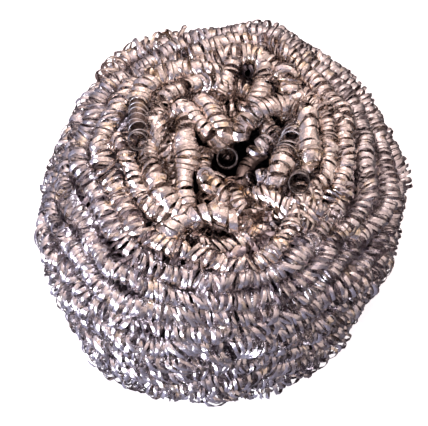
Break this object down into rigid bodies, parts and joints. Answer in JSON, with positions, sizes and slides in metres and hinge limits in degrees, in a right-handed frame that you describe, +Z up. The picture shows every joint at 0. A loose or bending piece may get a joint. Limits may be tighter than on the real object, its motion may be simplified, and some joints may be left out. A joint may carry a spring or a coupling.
{
  "type": "spiral metal scourer",
  "caption": "Round scourer wound from a long helical coil of flat steel ribbon, its turns side by side, with looser strands and open coil ends on a slightly sunk crown.",
  "frame": {"origin": "centre of the small flat that the ball rests on", "axes": "+Z up from the resting flat to the sunk crown; the lowest open coil end on the crown is on the -X side"},
  "size_m": [0.0796, 0.0809, 0.0642],
  "materials": {
    "ribbon_steel": "bright rolled ribbon with fine scratches"
  },
  "bodies": {
    "root": {"wound_coil": "ribbon_steel"}
  },
  "joints": []
}
